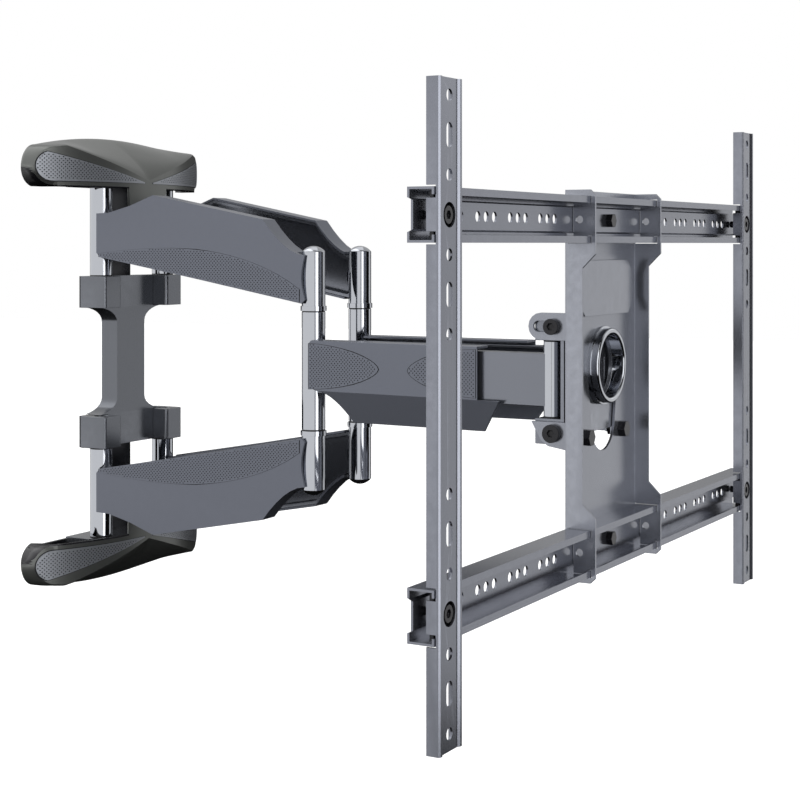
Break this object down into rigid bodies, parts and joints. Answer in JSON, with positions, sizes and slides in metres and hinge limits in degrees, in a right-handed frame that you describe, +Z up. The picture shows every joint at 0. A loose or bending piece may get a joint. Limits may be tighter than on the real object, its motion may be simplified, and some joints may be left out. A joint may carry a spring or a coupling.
{
  "type": "full motion tv wall mount",
  "caption": "Full motion television wall mount: wall plate, folding twin double arms, tilting and levelling head, and sliding rails with screw holes.",
  "frame": {"origin": "centre of the wall plate's back face, on the wall", "axes": "+X to the right seen from the screen side, +Y into the wall, +Z up; the screen side faces -Y"},
  "size_m": [0.634, 0.5222, 0.422],
  "materials": {
    "wall_steel": "gunmetal powder coat, satin",
    "cap_plastic": "dark grey moulded plastic with dotted wings",
    "cover_plastic": "dark grey moulded plastic, semi-gloss",
    "arm_steel": "gunmetal paint, gloss",
    "column_steel": "dark polished tube",
    "screen_steel": "gunmetal paint, gloss",
    "rail_steel": "gunmetal paint, gloss",
    "pin_steel": "bright turned steel",
    "bolt_steel": "black oxide",
    "washer_nylon": "black nylon"
  },
  "bodies": {
    "wall": {"wall_plate": "wall_steel", "spine_cover": "wall_steel", "upper_ears": "wall_steel", "lower_ears": "wall_steel", "upper_shelf": "wall_steel", "lower_shelf": "wall_steel", "top_cap": "cap_plastic", "bottom_cap": "cap_plastic", "shoulder_pins": "pin_steel", "shoulder_washers": "washer_nylon"},
    "head": {"head_yoke": "arm_steel", "wrist_pins": "pin_steel", "wrist_washers": "washer_nylon", "tilt_bolts": "bolt_steel"},
    "tilt": {"tilt_plate": "screen_steel", "level_ring": "column_steel"},
    "screen": {"centre_channel": "screen_steel", "upper_cross_rail": "rail_steel", "lower_cross_rail": "rail_steel", "rail_bolts": "bolt_steel", "rail_nuts": "bolt_steel", "level_bolts": "bolt_steel"},
    "left_arm": {"left_upper_arm": "arm_steel", "left_upper_arm_cover": "cover_plastic", "left_lower_arm": "arm_steel", "left_lower_arm_cover": "cover_plastic", "left_elbow_pin": "pin_steel", "left_elbow_domes": "column_steel", "left_elbow_washers": "washer_nylon"},
    "left_forearm": {"left_forearm": "arm_steel", "left_forearm_cover": "cover_plastic"},
    "left_rail": {"left_tv_rail": "rail_steel", "left_rail_clamps": "bolt_steel", "left_clamp_screws": "bolt_steel"},
    "right_arm": {"right_upper_arm": "arm_steel", "right_upper_arm_cover": "cover_plastic", "right_lower_arm": "arm_steel", "right_lower_arm_cover": "cover_plastic", "right_elbow_pin": "pin_steel", "right_elbow_domes": "column_steel", "right_elbow_washers": "washer_nylon"},
    "right_forearm": {"right_forearm": "arm_steel", "right_forearm_cover": "cover_plastic"},
    "right_rail": {"right_tv_rail": "rail_steel", "right_rail_clamps": "bolt_steel", "right_clamp_screws": "bolt_steel"}
  },
  "joints": [
    {"name": "left_shoulder", "type": "hinge", "parent": "wall", "child": "left_arm", "pos_m": [-0.045, -0.03, 0], "axis": [0, 0, 1], "range_deg": [-86, 0]},
    {"name": "left_elbow", "type": "hinge", "parent": "left_arm", "child": "left_forearm", "pos_m": [-0.038, -0.25319, 0], "axis": [0, 0, 1], "range_deg": [0, 172]},
    {"name": "wrist", "type": "hinge", "parent": "left_forearm", "child": "head", "pos_m": [-0.045, -0.47638, 0], "axis": [0, 0, 1], "range_deg": [-86, 0]},
    {"name": "right_shoulder", "type": "hinge", "parent": "wall", "child": "right_arm", "pos_m": [0.045, -0.03, 0], "axis": [0, 0, 1], "range_deg": [0, 86]},
    {"name": "right_elbow", "type": "hinge", "parent": "right_arm", "child": "right_forearm", "pos_m": [0.038, -0.25319, 0], "axis": [0, 0, 1], "range_deg": [-172, 0]},
    {"name": "tilt", "type": "hinge", "parent": "head", "child": "tilt", "pos_m": [0, -0.48268, -0.038], "axis": [1, 0, 0], "range_deg": [0, 8]},
    {"name": "level", "type": "hinge", "parent": "tilt", "child": "screen", "pos_m": [0, -0.49868, 0.011], "axis": [0, 1, 0], "range_deg": [-3, 3]},
    {"name": "left_rail_slide", "type": "slide", "parent": "screen", "child": "left_rail", "axis": [1, 0, 0], "range_m": [0, 0.2]},
    {"name": "right_rail_slide", "type": "slide", "parent": "screen", "child": "right_rail", "axis": [-1, 0, 0], "range_m": [0, 0.2]}
  ],
  "couplings": [
    {"joint": "left_elbow", "follows": "left_shoulder", "ratio": -2},
    {"joint": "wrist", "follows": "left_shoulder", "ratio": 1},
    {"joint": "right_shoulder", "follows": "left_shoulder", "ratio": -1},
    {"joint": "right_elbow", "follows": "left_shoulder", "ratio": 2}
  ]
}
